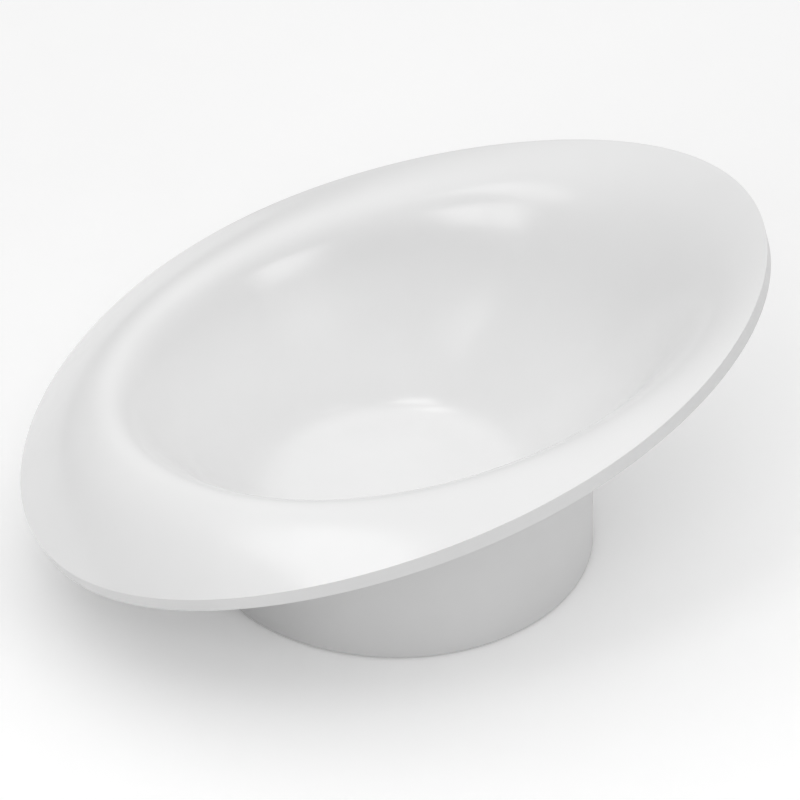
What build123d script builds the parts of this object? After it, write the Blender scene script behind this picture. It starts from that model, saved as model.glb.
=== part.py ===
from build123d import *
import os
from math import cos, pi, sin

# A bedpan: a wide slanted seat rim that rolls over a rounded shoulder into a deep bowl,
# standing on a round drum. Millimetres. The origin is where the drum's axis meets the ground,
# +X points to the high end of the seat and +Z up. The shape is the same on both sides of y = 0.

# Seat rim, measured on the outer top edge
seat_length = 400.0
seat_width = 305.0
rim_height = 118.5  # of the top edge at x = 0
rim_rise = 0.232  # climb of the rim towards the high end, per mm of length
rim_droop = -5.5  # how far both ends hang below the plane of that climb
rim_twist = 11.0  # extra lift at the high end, and drop at the low end
rim_shift = -1.0  # middle of the oval, along X
rim_egg = -0.044  # share by which the oval is wider towards the low end
rim_depth = 10.5  # visible edge, measured down its own face
rim_lean = 0.4  # 0 has that edge hang upright, 1 has it square to the seat
bend_reach = 200.0  # distance from the middle at which droop, bow and twist are given

# Seat and bowl, each as a distance in from the rim: along the length, then across the width
flange_inset = (10.0, 6.5)
crest_inset = (29.5, 34.5)
throat_inset = (54.5, 49.5)
wall_inset = (76.0, 57.0)
flange_height = 120.5
crest_height = 134.0
throat_height = 110.0
wall_height = 90.5
flange_slope = {"shift": 1.5, "rise": 0.205, "bow": 6.5}
crest_slope = {"shift": 2.0, "rise": 0.13, "bow": -5.0}
throat_slope = {"shift": -4.5, "bow": 10.5}

# Floor of the bowl
floor_height = 30.0
floor_radius = 70.0
floor_flat_radius = 52.0
root_rise = 12.0  # height of the bowl's foot curve over the floor
root_spread = (11.5, 2.0)
root_shift = -4.0

# Walls
pan_wall = 3.2
under_wall = 2.8
under_depth = 10.0  # of the underside, square below the seat
glue_gap = 0.25

# Drum, its bottom plate and its soft ring
drum_diameter = 207.0
drum_wall = 3.2
drum_lift = 1.2  # the drum's edge stays this far off the ground
under_overlap = 3.0  # the underside reaches this far in past the drum's bore
slip_gap = 0.2
plate_height = 5.0
plate_thickness = 3.0
ledge_width = 4.0
ledge_thickness = 3.0
support_radius = 38.0
support_wall = 3.0
foot_margin = 7.3  # between the drum's bore and the foot ring
foot_width = 9.0
foot_rib = 2.0
foot_rib_depth = 2.5

drum_radius = drum_diameter / 2
drum_bore = drum_radius - drum_wall
foot_radius = drum_bore - foot_margin - foot_width
clear_height = rim_height + seat_length / 2  # above everything
slip_inset = pan_wall + glue_gap

UP = (Align.CENTER, Align.CENTER, Align.MIN)
POINTS_PER_RING = 48
UNDER_STEPS = [0.06, 0.1, 0.14, 0.18, 0.25, 0.32, 0.4, 0.48, 0.56, 0.64, 0.72, 0.79, 0.86, 0.93, 1.0]
TOP_STEPS = [0.0, 0.03] + UNDER_STEPS


def oval(half_length, half_width, height, shift=0.0, egg=0.0, rise=0.0, bow=0.0, twist=0.0):
    """A closed ring as a function of the angle round the bowl."""

    def at(angle):
        x = shift + half_length * cos(angle)
        y = half_width * sin(angle) * (1 + egg * cos(angle))
        reach = x / bend_reach
        return Vector(x, y, height + rise * x + bow * reach**2 + twist * reach**3)

    return at


def inset_oval(inset, height, **slope):
    """An oval that keeps its distance from the rim."""
    return oval(seat_length / 2 - inset[0], seat_width / 2 - inset[1], height, **slope)


# The seat skin is drawn in by these rings, as a curve is by its control points:
# rim, flange, crest, throat, wall, root, floor edge, floor flat
rings = [
    oval(seat_length / 2, seat_width / 2, rim_height, rim_shift, rim_egg, rim_rise, rim_droop, rim_twist),
    inset_oval(flange_inset, flange_height, **flange_slope),
    inset_oval(crest_inset, crest_height, **crest_slope),
    inset_oval(throat_inset, throat_height, **throat_slope),
    inset_oval(wall_inset, wall_height),
    oval(floor_radius + root_spread[0], floor_radius + root_spread[1], floor_height + root_rise, root_shift),
    oval(floor_radius, floor_radius, floor_height),
    oval(floor_flat_radius, floor_flat_radius, floor_height),
]


def spline_weights(count, along):
    """Weights of a clamped cubic spline's control rings, from 0 at the rim to 1 on the floor."""
    spans = count - 3
    knots = [0] * 3 + list(range(spans + 1)) + [spans] * 3
    place = along * spans
    span = min(int(place), spans - 1) + 3
    local = [1.0]
    for degree in (1, 2, 3):
        raised = [0.0] * (degree + 1)
        for k, weight in enumerate(local):
            low = knots[span - degree + 1 + k]
            high = knots[span + 1 + k]
            share = (place - low) / (high - low)
            raised[k] += weight * (1 - share)
            raised[k + 1] += weight * share
        local = raised
    return {span - 3 + k: weight for k, weight in enumerate(local)}


def skin_point(along, angle):
    point = Vector(0, 0, 0)
    for index, weight in spline_weights(len(rings), along).items():
        point += rings[index](angle) * weight
    return point


def skin_frame(along, angle):
    """Point on the seat skin, the unit direction down into the bowl, and the outward normal."""
    step = 1e-4
    ahead = min(along + step, 1.0)
    inward = skin_point(ahead, angle) - skin_point(ahead - step, angle)
    sideways = skin_point(along, angle + step) - skin_point(along, angle - step)
    normal = (inward * -1).cross(sideways).normalized()
    return skin_point(along, angle), inward.normalized(), normal


def closed_ring(points):
    return Wire([Edge.make_spline(points, periodic=True)])


def ring_angles():
    return [2 * pi * k / POINTS_PER_RING for k in range(POINTS_PER_RING)]


def rim_frame(angle):
    """Rim point, the way in along the seat, the way down the edge band and the way in across that band."""
    point, inward, normal = skin_frame(0.0, angle)
    along_rim = normal.cross(inward)
    down = Vector(0, 0, rim_lean - 1) - normal * rim_lean
    down = (down - along_rim * down.dot(along_rim)).normalized()
    across = (inward - down * inward.dot(down)).normalized()
    return point, inward, down, across


def edge_ring(inset, drop):
    """Ring beside the rim's top edge: this far in across the edge band and this far down it."""
    points = []
    for angle in ring_angles():
        point, _, down, across = rim_frame(angle)
        points.append(point + across * inset + down * drop)
    return closed_ring(points)


def lip_root_ring(wall):
    """Ring where the inside of the edge band meets the underside of the seat, both this thick."""
    points = []
    for angle in ring_angles():
        point, inward, down, _ = rim_frame(angle)
        points.append(point + (inward + down) * (wall / inward.cross(down).length))
    return closed_ring(points)


def skin_ring(along, depth):
    points = []
    for angle in ring_angles():
        point, _, normal = skin_frame(along, angle)
        points.append(point - normal * depth)
    return closed_ring(points)


def band(first, second):
    return list(Shell.make_loft([first, second], ruled=True).faces())


def skin(rings_down):
    """Faces through a list of rings, closed by a flat floor in the last one."""
    return list(Shell.make_loft(rings_down).faces()) + [Face(rings_down[-1])]


def top_skin():
    """Faces of the seat and bowl, from the rim's top edge to the middle of the floor."""
    return skin([skin_ring(along, 0) for along in TOP_STEPS])


def under_skin(edge, depth):
    """The same faces at some depth, reached by a narrow band from a ring at the rim."""
    ring_list = [skin_ring(along, depth) for along in UNDER_STEPS]
    return band(edge, ring_list[0]) + skin(ring_list)


def closed_solid(faces):
    return Solid(Shell(faces))


def ring_solid(inner_radius, outer_radius, bottom, top):
    outside = Pos(0, 0, bottom) * Cylinder(outer_radius, top - bottom, align=UP)
    inside = Pos(0, 0, bottom) * Cylinder(inner_radius, top - bottom, align=UP)
    return outside - inside


def pan_shell():
    """Top moulding: seat, shoulder, bowl and floor in one wall, with a lip turned down round the rim."""
    lip_top = edge_ring(0, 0)
    lip_outside = edge_ring(0, rim_depth)
    lip_inside = edge_ring(pan_wall, rim_depth)
    lip_root = lip_root_ring(pan_wall)
    faces = top_skin() + under_skin(lip_root, pan_wall)
    faces += band(lip_top, lip_outside) + band(lip_outside, lip_inside) + band(lip_inside, lip_root)
    return closed_solid(faces)


def seat_plug(drop, depth):
    """Everything above the seat skin at this depth, to cut away what meets the seat from below."""
    edge = edge_ring(slip_inset, drop)
    points = [edge @ (k / POINTS_PER_RING) for k in range(POINTS_PER_RING)]
    lid = closed_ring([Vector(p.X, p.Y, clear_height) for p in points])
    return closed_solid(under_skin(edge, depth) + band(edge, lid) + [Face(lid)])


def under_shell():
    """Lower moulding: closes the hollow seat from below and ends just inside the drum."""
    upper_edge = edge_ring(slip_inset, rim_depth - under_wall)
    lower_edge = edge_ring(slip_inset, rim_depth)
    faces = under_skin(upper_edge, under_depth - under_wall) + under_skin(lower_edge, under_depth)
    faces += band(upper_edge, lower_edge)
    return closed_solid(faces) - Cylinder(drum_bore - under_overlap, 2 * clear_height)


def base_drum():
    """Round stand, cut to the underside of the seat, with a ledge inside for the bottom plate."""
    plate_top = plate_height + plate_thickness
    tube = ring_solid(drum_bore, drum_radius, drum_lift, clear_height)
    ledge = ring_solid(drum_bore - ledge_width, drum_bore, plate_top, plate_top + ledge_thickness)
    return tube - seat_plug(rim_depth, under_depth) + ledge


def base_plate():
    """Bottom plate: closes the drum, carries the bowl's floor on a round rib and holds the foot ring."""
    plate_top = plate_height + plate_thickness
    disc = Pos(0, 0, plate_height) * Cylinder(drum_bore - slip_gap, plate_thickness, align=UP)
    support = ring_solid(support_radius - support_wall, support_radius, plate_top, floor_height - pan_wall)
    rib_bottom = plate_height - foot_rib_depth
    inner_rib = ring_solid(foot_radius - foot_rib, foot_radius, rib_bottom, plate_height)
    outer_edge = foot_radius + foot_width
    outer_rib = ring_solid(outer_edge, outer_edge + foot_rib, rib_bottom, plate_height)
    return disc + support + inner_rib + outer_rib


def foot_ring():
    """Soft non-slip ring, held between the plate's two ribs, with its corners rounded."""
    ring = ring_solid(foot_radius, foot_radius + foot_width, 0, plate_height)
    ground_edges = ring.edges().group_by(Axis.Z)[0]
    return fillet(ground_edges, drum_lift / 2)


os.makedirs("parts", exist_ok=True)
parts = {
    "pan_shell": pan_shell(),
    "under_shell": under_shell(),
    "base_drum": base_drum(),
    "base_plate": base_plate(),
    "foot_ring": foot_ring(),
}
for name, part in parts.items():
    print(name, len(part.solids()), round(part.volume), part.is_valid)
    export_step(part, f"parts/{name}.step")
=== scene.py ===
from math import cos, radians, sin, tau

import bpy
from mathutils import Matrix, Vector


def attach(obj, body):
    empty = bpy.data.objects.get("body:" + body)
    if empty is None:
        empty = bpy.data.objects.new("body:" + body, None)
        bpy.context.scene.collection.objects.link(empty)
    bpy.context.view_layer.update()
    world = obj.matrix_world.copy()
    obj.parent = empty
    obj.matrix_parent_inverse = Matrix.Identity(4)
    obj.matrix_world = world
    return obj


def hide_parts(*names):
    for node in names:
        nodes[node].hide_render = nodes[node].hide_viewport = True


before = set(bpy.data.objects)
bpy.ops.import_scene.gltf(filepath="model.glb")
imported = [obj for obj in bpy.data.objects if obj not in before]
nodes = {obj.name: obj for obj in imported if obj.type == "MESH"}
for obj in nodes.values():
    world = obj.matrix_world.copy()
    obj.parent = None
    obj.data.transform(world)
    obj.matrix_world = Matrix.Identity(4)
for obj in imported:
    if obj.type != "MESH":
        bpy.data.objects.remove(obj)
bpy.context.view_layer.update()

# A white moulded bedpan on its round drum. Metres, in the frame of the CAD model:
# the drum's axis is Z and the high end of the seat is towards +X.
mm = 0.001
body = "root"


def addNode(tree, kind, links=None, **settings):
    # links maps an input's name or number to a value, or to the output that feeds it
    node = tree.nodes.new(kind)
    for name, value in settings.items():
        setattr(node, name, value)
    for socket, source in (links or {}).items():
        if isinstance(source, bpy.types.NodeSocket):
            tree.links.new(source, node.inputs[socket])
        else:
            node.inputs[socket].default_value = source
    return node


# kinds of node that come up often
noiseNode = "ShaderNodeTexNoise"
rampNode = "ShaderNodeValToRGB"
mathNode = "ShaderNodeMath"
vectorMathNode = "ShaderNodeVectorMath"


def fromHex(code):
    # sRGB hex to the linear colour that a shader takes
    channels = [int(code[i:i + 2], 16) / 255 for i in (1, 3, 5)]
    return [c / 12.92 if c <= 0.04045 else ((c + 0.055) / 1.055) ** 2.4 for c in channels] + [1.0]


def addObject(name, data):
    thing = bpy.data.objects.new(name, data)
    bpy.context.scene.collection.objects.link(thing)
    return thing


# Camera: in front of the long side, turned a little towards the low end, looking down into the bowl

cameraSetup = {
    "azimuth": radians(-20.0),
    "elevation": radians(37.5),
    "lens": 700.0,            # so long that the walls of the drum stay parallel
    "sensor": 36.0,
    "clipEnd": 60.0,
    "pictureWidth": 421 * mm,   # of the plane through the drum's foot
    "aimRight": 1.95 * mm,      # the aim, measured in that plane from the middle of the foot
    "aimUp": 72.1 * mm,
}


def makeCamera():
    a, e = cameraSetup["azimuth"], cameraSetup["elevation"]
    back = Vector((sin(a) * cos(e), -cos(a) * cos(e), sin(e)))
    right = Vector((cos(a), sin(a), 0))
    up = back.cross(right)
    distance = cameraSetup["pictureWidth"] * cameraSetup["lens"] / cameraSetup["sensor"]
    camera = addObject("camera", bpy.data.cameras.new("camera"))
    camera.data.lens = cameraSetup["lens"]
    camera.data.sensor_width = cameraSetup["sensor"]
    camera.data.clip_end = cameraSetup["clipEnd"]
    camera.location = right * cameraSetup["aimRight"] + up * cameraSetup["aimUp"] + back * distance
    camera.rotation_mode = "QUATERNION"
    camera.rotation_quaternion = back.to_track_quat("Z", "Y")
    bpy.context.scene.camera = camera


makeCamera()
print("camera is set")


# Materials. Each reads Object coordinates, in metres, so a pattern's scale is one over its real size.

def newMaterial(name):
    material = bpy.data.materials.new(name)
    material.use_nodes = True
    tree = material.node_tree
    tree.nodes.clear()
    shader = addNode(tree, "ShaderNodeBsdfPrincipled")
    addNode(tree, "ShaderNodeOutputMaterial", {"Surface": shader.outputs["BSDF"]})
    where = addNode(tree, "ShaderNodeTexCoord").outputs["Object"]
    return material, tree, shader, where


plasticIor = 1.49

glossLook = {
    "light": "#f2f2f2", "dark": "#f0f0f0", "toneSpan": (0.35, 0.65), "cloudSize": 60 * mm,
    "roughness": 0.22, "roughnessSpread": 0.03, "polishSize": 18 * mm, "specular": 0.75,
    "sinkSize": 45 * mm, "sinkDepth": 0.1 * mm,
    "peelSize": 6 * mm, "peelDepth": 0.006 * mm,
}
# the satin look is rougher, and its greyer base colour is painted shade for the rim's edge, the underside and
# the drum
satinLookWithPaintedShade = dict(glossLook, light="#dfdfdf", dark="#dcdcdc", roughness=0.33, specular=0.5)


def mouldedPlastic(name, look):
    # injection moulded polypropylene: neutral white, an even gloss or satin that the cooling melt leaves
    # a little cloudy, and a ripple too shallow to see but in a reflection. The satin look's greyer white is
    # painted shade
    material, tree, shader, where = newMaterial(name)
    cloud = addNode(tree, noiseNode, {"Vector": where, "Scale": 1 / look["cloudSize"], "Detail": 3.0})
    tone = addNode(tree, rampNode, {"Fac": cloud.outputs["Fac"]})
    for stop, place, colour in zip(tone.color_ramp.elements, look["toneSpan"], (look["dark"], look["light"])):
        stop.position = place
        stop.color = fromHex(colour)
    tree.links.new(tone.outputs["Color"], shader.inputs["Base Color"])
    polish = addNode(tree, noiseNode, {"Vector": where, "Scale": 1 / look["polishSize"], "Detail": 4.0})
    links = {"Value": polish.outputs["Fac"], "From Min": 0.3, "From Max": 0.7,
             "To Min": look["roughness"] - look["roughnessSpread"],
             "To Max": look["roughness"] + look["roughnessSpread"]}
    gloss = addNode(tree, "ShaderNodeMapRange", links)
    tree.links.new(gloss.outputs["Result"], shader.inputs["Roughness"])
    sink = addNode(tree, noiseNode, {"Vector": where, "Scale": 1 / look["sinkSize"], "Detail": 0.0})
    links = {"Height": sink.outputs["Fac"], "Strength": 1.0, "Distance": look["sinkDepth"]}
    sinkBump = addNode(tree, "ShaderNodeBump", links)
    peel = addNode(tree, noiseNode, {"Vector": where, "Scale": 1 / look["peelSize"], "Detail": 1.0})
    links = {"Height": peel.outputs["Fac"], "Strength": 1.0, "Distance": look["peelDepth"],
             "Normal": sinkBump.outputs["Normal"]}
    peelBump = addNode(tree, "ShaderNodeBump", links)
    tree.links.new(peelBump.outputs["Normal"], shader.inputs["Normal"])
    shader.inputs["IOR"].default_value = plasticIor
    shader.inputs["Specular IOR Level"].default_value = look["specular"]
    return material


grainLook = {
    "light": "#e3e3e3", "dark": "#d9d9d9", "toneSpan": (0.3, 0.7), "roughness": 0.5,
    "grainSize": 0.9 * mm, "grainDepth": 0.1 * mm, "grainStrength": 0.5,
}


def sparkTexturedPlastic(name, look):
    # polypropylene from a spark eroded mould: the same white, dulled by a fine even grain
    material, tree, shader, where = newMaterial(name)
    grain = addNode(tree, noiseNode, {"Vector": where, "Scale": 1 / look["grainSize"], "Detail": 2.0})
    tone = addNode(tree, rampNode, {"Fac": grain.outputs["Fac"]})
    for stop, place, colour in zip(tone.color_ramp.elements, look["toneSpan"], (look["dark"], look["light"])):
        stop.position = place
        stop.color = fromHex(colour)
    tree.links.new(tone.outputs["Color"], shader.inputs["Base Color"])
    links = {"Height": grain.outputs["Fac"], "Strength": look["grainStrength"],
             "Distance": look["grainDepth"]}
    bump = addNode(tree, "ShaderNodeBump", links)
    tree.links.new(bump.outputs["Normal"], shader.inputs["Normal"])
    shader.inputs["Roughness"].default_value = look["roughness"]
    shader.inputs["IOR"].default_value = plasticIor
    return material


rubberLook = {
    "light": "#ababab", "dark": "#9a9a9a", "toneSpan": (0.35, 0.7), "dustSize": 4 * mm, "roughness": 0.75,
    "grainSize": 0.6 * mm, "grainDepth": 0.1 * mm, "grainStrength": 0.4,
}


def softRubber(name, look):
    # thermoplastic rubber: light grey, matt, with a little dust on it
    material, tree, shader, where = newMaterial(name)
    dust = addNode(tree, noiseNode, {"Vector": where, "Scale": 1 / look["dustSize"], "Detail": 5.0})
    tone = addNode(tree, rampNode, {"Fac": dust.outputs["Fac"]})
    for stop, place, colour in zip(tone.color_ramp.elements, look["toneSpan"], (look["dark"], look["light"])):
        stop.position = place
        stop.color = fromHex(colour)
    tree.links.new(tone.outputs["Color"], shader.inputs["Base Color"])
    grain = addNode(tree, noiseNode, {"Vector": where, "Scale": 1 / look["grainSize"], "Detail": 2.0})
    links = {"Height": grain.outputs["Fac"], "Strength": look["grainStrength"],
             "Distance": look["grainDepth"]}
    bump = addNode(tree, "ShaderNodeBump", links)
    tree.links.new(bump.outputs["Normal"], shader.inputs["Normal"])
    shader.inputs["Roughness"].default_value = look["roughness"]
    return material


def dress(piece, material):
    piece.data.materials.clear()
    piece.data.materials.append(material)


glossPlastic = mouldedPlastic("glossMouldedPolypropylene", glossLook)
# the satin plastic's greyer colour is painted shade
satinPlasticWithPaintedShade = mouldedPlastic("satinMouldedPolypropyleneWithPaintedShade", satinLookWithPaintedShade)
texturedPlastic = sparkTexturedPlastic("sparkTexturedPolypropylene", grainLook)
footRubber = softRubber("thermoplasticRubber", rubberLook)
print("materials are mixed")


# Seat and bowl: one skin through eight oval rings, from the rim to the flat of the floor

pan = {
    "bendReach": 200 * mm,      # distance from the middle at which bow and twist are given
    "rimDepth": 10.5 * mm,
    "rimLean": 0.4,             # 0 has the rim's edge hang upright, 1 has it square to the seat
    "wall": 3.2 * mm,
    "edgeRadius": 1.3 * mm,
    "edgeSegments": 4,
    "edgeAngle": radians(32),   # only a sharper bend than this is rounded
    "floorHeight": 30 * mm,
    "floorFlat": 52 * mm,
    "anglesRound": 192,
    "rowsPerSpan": 15,
    "mergeDistance": 0.02 * mm,
}
panRings = [  # half length, half width, height, shift, rise, bow, twist, egg
    (200.0, 152.5, 118.5, -1.0, 0.232, -5.5, 11.0, -0.044),   # rim
    (190.0, 146.0, 120.5, 1.5, 0.205, 6.5, 0.0, 0.0),         # flange
    (170.5, 118.0, 134.0, 2.0, 0.130, -5.0, 0.0, 0.0),        # crest of the shoulder
    (145.5, 103.0, 110.0, -4.5, 0.0, 10.5, 0.0, 0.0),         # throat
    (124.0, 95.5, 90.5, 0.0, 0.0, 0.0, 0.0, 0.0),             # wall
    (81.5, 72.0, 42.0, -4.0, 0.0, 0.0, 0.0, 0.0),             # foot of the wall
    (70.0, 70.0, 30.0, 0.0, 0.0, 0.0, 0.0, 0.0),              # edge of the floor
    (52.0, 52.0, 30.0, 0.0, 0.0, 0.0, 0.0, 0.0),              # flat of the floor
]
ruleSplines = 3    # each carries three of a ring's terms


def ringTerms(ring):
    # a ring's three directions as sums of powers of the cosine round the bowl, which blend ring by ring
    halfLength, halfWidth, height, shift, rise, bow, twist, egg = ring
    reach = pan["bendReach"] / mm
    level = height + rise * shift + bow * (shift / reach) ** 2 + twist * (shift / reach) ** 3
    slope = halfLength * (rise + 2 * bow * shift / reach ** 2 + 3 * twist * shift ** 2 / reach ** 3)
    curve = halfLength ** 2 * (bow / reach ** 2 + 3 * twist * shift / reach ** 3)
    turn = twist * (halfLength / reach) ** 3
    return (halfLength, halfWidth, shift), (halfWidth * egg, level, slope), (curve, turn, 0.0)


def makePanRule():
    # three splines with the rings' terms as their control points, read by the tree below
    curve = bpy.data.curves.new("panRule", "CURVE")
    curve.dimensions = "3D"
    for term in range(ruleSplines):
        spline = curve.splines.new("NURBS")
        spline.points.add(len(panRings) - 1)
        for point, ring in zip(spline.points, panRings):
            point.co = (*[value * mm for value in ringTerms(ring)[term]], 1)
        spline.order_u = 4      # cubic
        spline.use_endpoint_u = True
        spline.resolution_u = pan["rowsPerSpan"]
    return addObject("panRule", curve)


def growPanTree():
    tree = bpy.data.node_groups.new("panSkin", "GeometryNodeTree")
    sockets = {}
    for name, kind in (("Rule", "Geometry"), ("Angles Round", "Int"), ("Rim Depth", "Float"),
                       ("Rim Lean", "Float"), ("Floor Flat", "Float"), ("Floor Height", "Float"),
                       ("Finish", "Material"), ("Edge Finish With Painted Shade", "Material")):
        sockets[name] = tree.interface.new_socket(name=name, in_out="INPUT", socket_type="NodeSocket" + kind)
    tree.interface.new_socket(name="Skin", in_out="OUTPUT", socket_type="NodeSocketGeometry")
    given = addNode(tree, "NodeGroupInput").outputs

    # rows run down the wall and columns round the bowl
    sampled = addNode(tree, "GeometryNodeCurveToPoints", {"Curve": given["Rule"]}, mode="EVALUATED")
    points = sampled.outputs["Points"]
    size = addNode(tree, "GeometryNodeAttributeDomainSize", {"Geometry": points}, component="POINTCLOUD")
    count = size.outputs["Point Count"]
    rows = addNode(tree, mathNode, {0: count, 1: float(ruleSplines)}, operation="DIVIDE").outputs[0]
    columns = addNode(tree, mathNode, {0: given["Angles Round"], 1: 1.0}, operation="ADD").outputs[0]
    grid = addNode(tree, "GeometryNodeMeshGrid", {"Vertices X": rows, "Vertices Y": columns}).outputs["Mesh"]
    index = addNode(tree, "GeometryNodeInputIndex").outputs["Index"]
    middle = addNode(tree, mathNode, {0: index, 1: 0.5}, operation="ADD").outputs[0]
    depth = addNode(tree, mathNode, {0: middle, 1: columns}, operation="DIVIDE").outputs[0]
    row = addNode(tree, mathNode, {0: depth}, operation="FLOOR").outputs[0]
    column = addNode(tree, mathNode, {0: index, 1: columns}, operation="MODULO").outputs[0]
    share = addNode(tree, mathNode, {0: column, 1: given["Angles Round"]}, operation="DIVIDE").outputs[0]
    angle = addNode(tree, mathNode, {0: share, 1: -tau}, operation="MULTIPLY").outputs[0]
    place = addNode(tree, "GeometryNodeInputPosition").outputs["Position"]
    terms = []
    for term in range(ruleSplines):
        links = {0: rows, 1: float(term), 2: row}
        which = addNode(tree, mathNode, links, operation="MULTIPLY_ADD").outputs[0]
        links = {"Geometry": points, "Value": place, "Index": which}
        sample = addNode(tree, "GeometryNodeSampleIndex", links, data_type="FLOAT_VECTOR").outputs["Value"]
        terms += list(addNode(tree, "ShaderNodeSeparateXYZ", {"Vector": sample}).outputs)
    halfLength, halfWidth, shift, eggWidth, level, slope, curve, turn = terms[:8]   # the ninth is a filler

    # the oval ring at each row
    cosine = addNode(tree, mathNode, {0: angle}, operation="COSINE").outputs[0]
    sine = addNode(tree, mathNode, {0: angle}, operation="SINE").outputs[0]
    x = addNode(tree, mathNode, {0: halfLength, 1: cosine, 2: shift}, operation="MULTIPLY_ADD").outputs[0]
    links = {0: eggWidth, 1: cosine, 2: halfWidth}
    breadth = addNode(tree, mathNode, links, operation="MULTIPLY_ADD").outputs[0]
    y = addNode(tree, mathNode, {0: breadth, 1: sine}, operation="MULTIPLY").outputs[0]
    bent = addNode(tree, mathNode, {0: turn, 1: cosine, 2: curve}, operation="MULTIPLY_ADD").outputs[0]
    tilt = addNode(tree, mathNode, {0: bent, 1: cosine, 2: slope}, operation="MULTIPLY_ADD").outputs[0]
    z = addNode(tree, mathNode, {0: tilt, 1: cosine, 2: level}, operation="MULTIPLY_ADD").outputs[0]
    ringPlace = addNode(tree, "ShaderNodeCombineXYZ", {"X": x, "Y": y, "Z": z}).outputs["Vector"]
    links = {"Geometry": grid, "Position": ringPlace}
    wall = addNode(tree, "GeometryNodeSetPosition", links).outputs["Geometry"]

    # the flat of the floor closes the skin
    links = {"Vertices": given["Angles Round"], "Radius": given["Floor Flat"]}
    disc = addNode(tree, "GeometryNodeMeshCircle", links, fill_type="TRIANGLE_FAN").outputs["Mesh"]
    lifted = addNode(tree, "ShaderNodeCombineXYZ", {"Z": given["Floor Height"]}).outputs["Vector"]
    links = {"Geometry": disc, "Translation": lifted}
    floor = addNode(tree, "GeometryNodeTransform", links).outputs["Geometry"]
    join = addNode(tree, "GeometryNodeJoinGeometry")
    for part in (wall, floor):
        tree.links.new(part, join.inputs["Geometry"])
    links = {"Geometry": join.outputs["Geometry"], "Distance": pan["mergeDistance"]}
    whole = addNode(tree, "GeometryNodeMergeByDistance", links).outputs["Geometry"]

    # the rim's edge hangs from the only open edge that is left
    faces = addNode(tree, "GeometryNodeInputMeshEdgeNeighbors").outputs["Face Count"]
    rim = addNode(tree, mathNode, {0: faces, 1: 1.5}, operation="LESS_THAN").outputs[0]
    normal = addNode(tree, "GeometryNodeInputNormal").outputs["Normal"]
    drop = addNode(tree, mathNode, {0: given["Rim Lean"], 1: 1.0}, operation="SUBTRACT").outputs[0]
    upright = addNode(tree, "ShaderNodeCombineXYZ", {"Z": drop}).outputs["Vector"]
    links = {0: normal, "Scale": given["Rim Lean"]}
    square = addNode(tree, vectorMathNode, links, operation="SCALE").outputs["Vector"]
    down = addNode(tree, vectorMathNode, {0: upright, 1: square}, operation="SUBTRACT").outputs["Vector"]
    down = addNode(tree, vectorMathNode, {0: down}, operation="NORMALIZE").outputs["Vector"]
    links = {"Mesh": whole, "Selection": rim, "Offset": down, "Offset Scale": given["Rim Depth"]}
    edged = addNode(tree, "GeometryNodeExtrudeMesh", links, mode="EDGES")
    smooth = addNode(tree, "GeometryNodeSetShadeSmooth", {"Geometry": edged.outputs["Mesh"]})
    smooth = smooth.outputs["Geometry"]
    real = addNode(tree, "GeometryNodeRealizeInstances", {"Geometry": smooth}).outputs["Geometry"]
    links = {"Geometry": real, "Material": given["Finish"]}
    dressed = addNode(tree, "GeometryNodeSetMaterial", links).outputs["Geometry"]
    # the rim's edge band takes the satin plastic, whose greyer colour is painted shade
    links = {"Geometry": dressed, "Selection": edged.outputs["Side"], "Material": given["Edge Finish With Painted Shade"]}
    trimmed = addNode(tree, "GeometryNodeSetMaterial", links).outputs["Geometry"]
    addNode(tree, "NodeGroupOutput", {"Skin": trimmed})
    return tree, sockets


def plainMesh(thing, name):
    # the evaluated object as a mesh of its own, with no modifier left
    bpy.context.view_layer.update()
    mesh = bpy.data.meshes.new_from_object(thing.evaluated_get(bpy.context.evaluated_depsgraph_get()))
    mesh.name = name
    return mesh


def makePan():
    rule = makePanRule()
    tree, sockets = growPanTree()
    skin = rule.modifiers.new("skin", "NODES")
    skin.node_group = tree
    for name, value in (("Angles Round", pan["anglesRound"]), ("Rim Depth", pan["rimDepth"]),
                        ("Rim Lean", pan["rimLean"]), ("Floor Flat", pan["floorFlat"]),
                        ("Floor Height", pan["floorHeight"]), ("Finish", glossPlastic),
                        ("Edge Finish With Painted Shade", satinPlasticWithPaintedShade)):
        skin[sockets[name].identifier] = value
    pieceMesh = plainMesh(rule, "seatAndBowlSkin")
    bpy.data.objects.remove(rule)
    shell = addObject("shellInTheMaking", pieceMesh)
    thicken = shell.modifiers.new("wall", "SOLIDIFY")
    thicken.thickness = pan["wall"]
    thicken.offset = -1.0
    thicken.use_even_offset = True
    rounding = shell.modifiers.new("edges", "BEVEL")
    rounding.width = pan["edgeRadius"]
    rounding.segments = pan["edgeSegments"]
    rounding.limit_method = "ANGLE"
    rounding.angle_limit = pan["edgeAngle"]
    rounding.harden_normals = True
    piece = addObject("seatAndBowl", plainMesh(shell, "seatAndBowl"))
    bpy.data.objects.remove(shell)
    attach(piece, body)
    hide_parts("pan_shell")
    return piece


seatAndBowl = makePan()
print("seat and bowl are made,", len(seatAndBowl.data.polygons), "faces")


# Pieces whose CAD shape is right keep it

# the underside of the seat and the drum take the satin plastic, whose greyer colour is painted shade
dress(nodes["under_shell"], satinPlasticWithPaintedShade)
dress(nodes["base_drum"], satinPlasticWithPaintedShade)
dress(nodes["base_plate"], texturedPlastic)
dress(nodes["foot_ring"], footRubber)
print("underside, drum, plate and foot ring are dressed")


# Studio: a dome that is brightest overhead and dark in front, a pale floor and three softboxes

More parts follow.
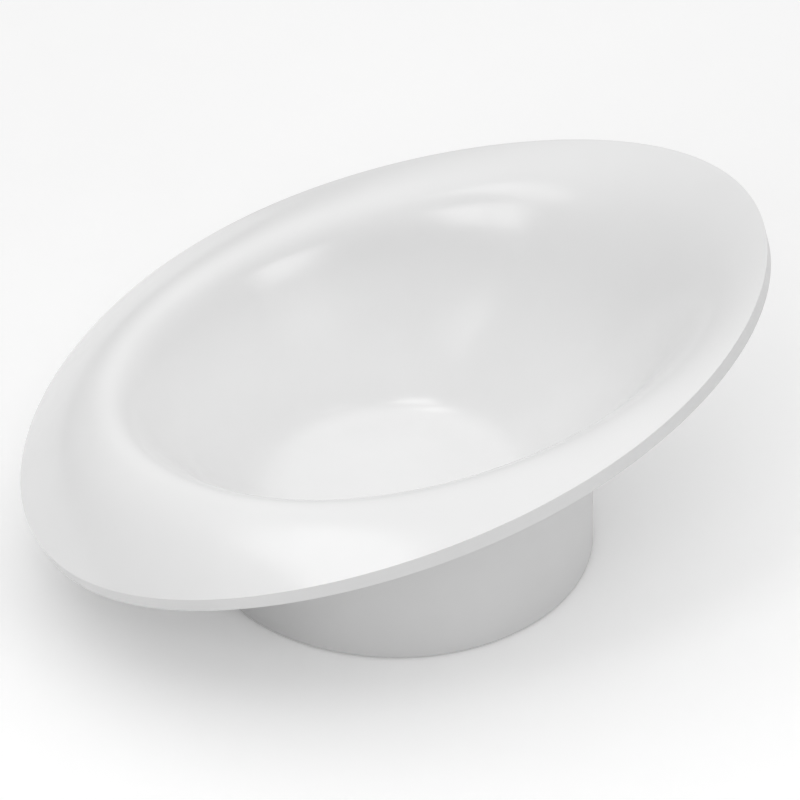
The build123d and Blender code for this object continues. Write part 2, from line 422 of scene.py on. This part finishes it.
studio = {
    "floorTone": "#fdfdfd",
    "floorSpeckTone": "#ffffff",
    "floorSpeckSize": 40 * mm,
    "floorRoughness": 0.9,
    "floorGlow": 0.07,          # the paper is thin and lit a little from below
    "floorSize": 14.0,
    "lampHeight": 0.1,          # the softboxes aim at this height over the floor
    "glowFalloff": 2.0,         # how narrow a glow in the dome is
}
domeGlows = {  # the way to the middle of each broad glow in the dome, and how strong it is there
    "overhead": ((0.0, 0.0, 1.0), 1.18),
    "highEnd": ((1.0, 0.0, 0.3), 0.26),
    "lowEnd": ((-1.0, 0.0, 0.3), 0.15),
    "behind": ((0.0, 1.0, 0.3), 0.41),
}
softboxes = {  # the way to its middle, how far off, its width and height, its power in watts
    "leftSoftbox": ((-0.416, -0.217, 0.883), 1.8, (0.45, 0.9), 2.5),
    "frontSoftbox": ((-0.435, -0.665, 0.607), 1.8, (0.75, 0.65), 4.2),
    "rightSoftbox": ((0.42, -0.826, 0.375), 1.8, (0.6, 0.5), 2.7),
}


def makeFloor():
    half = studio["floorSize"] / 2
    mesh = bpy.data.meshes.new("floor")
    corners = [(-half, -half, 0), (half, -half, 0), (half, half, 0), (-half, half, 0)]
    mesh.from_pydata(corners, [], [(0, 1, 2, 3)])
    floor = addObject("floor", mesh)
    material, tree, shader, where = newMaterial("mattPaperFloor")
    speck = addNode(tree, noiseNode, {"Vector": where, "Scale": 1 / studio["floorSpeckSize"]})
    tone = addNode(tree, rampNode, {"Fac": speck.outputs["Fac"]})
    for stop, colour in zip(tone.color_ramp.elements, (studio["floorTone"], studio["floorSpeckTone"])):
        stop.color = fromHex(colour)
    tree.links.new(tone.outputs["Color"], shader.inputs["Base Color"])
    shader.inputs["Roughness"].default_value = studio["floorRoughness"]
    shader.inputs["Emission Color"].default_value = fromHex(studio["floorTone"])
    shader.inputs["Emission Strength"].default_value = studio["floorGlow"]
    dress(floor, material)


def makeDome():
    world = bpy.data.worlds.new("studioDome")
    world.use_nodes = True
    tree = world.node_tree
    tree.nodes.clear()
    way = addNode(tree, "ShaderNodeTexCoord").outputs["Generated"]
    total = 0.0
    for middle, strength in domeGlows.values():
        facing = addNode(tree, vectorMathNode, {0: way, 1: Vector(middle).normalized()},
                         operation="DOT_PRODUCT").outputs["Value"]
        near = addNode(tree, mathNode, {0: facing, 1: 0.0}, operation="MAXIMUM").outputs[0]
        soft = addNode(tree, mathNode, {0: near, 1: studio["glowFalloff"]}, operation="POWER").outputs[0]
        links = {0: soft, 1: strength, 2: total}
        total = addNode(tree, mathNode, links, operation="MULTIPLY_ADD").outputs[0]
    glow = addNode(tree, "ShaderNodeBackground", {"Color": (1, 1, 1, 1), "Strength": total})
    addNode(tree, "ShaderNodeOutputWorld", {"Surface": glow.outputs["Background"]})
    bpy.context.scene.world = world
    bpy.context.scene.view_settings.view_transform = "Standard"


def makeSoftboxes():
    for name, (towards, distance, size, power) in softboxes.items():
        light = bpy.data.lights.new(name, "AREA")
        light.shape = "RECTANGLE"
        light.size, light.size_y = size
        light.energy = power
        away = Vector(towards).normalized()
        softbox = addObject(name, light)
        softbox.location = away * distance + Vector((0, 0, studio["lampHeight"]))
        softbox.rotation_mode = "QUATERNION"
        softbox.rotation_quaternion = away.to_track_quat("Z", "Y")


makeFloor()
makeDome()
makeSoftboxes()
print("studio is lit")
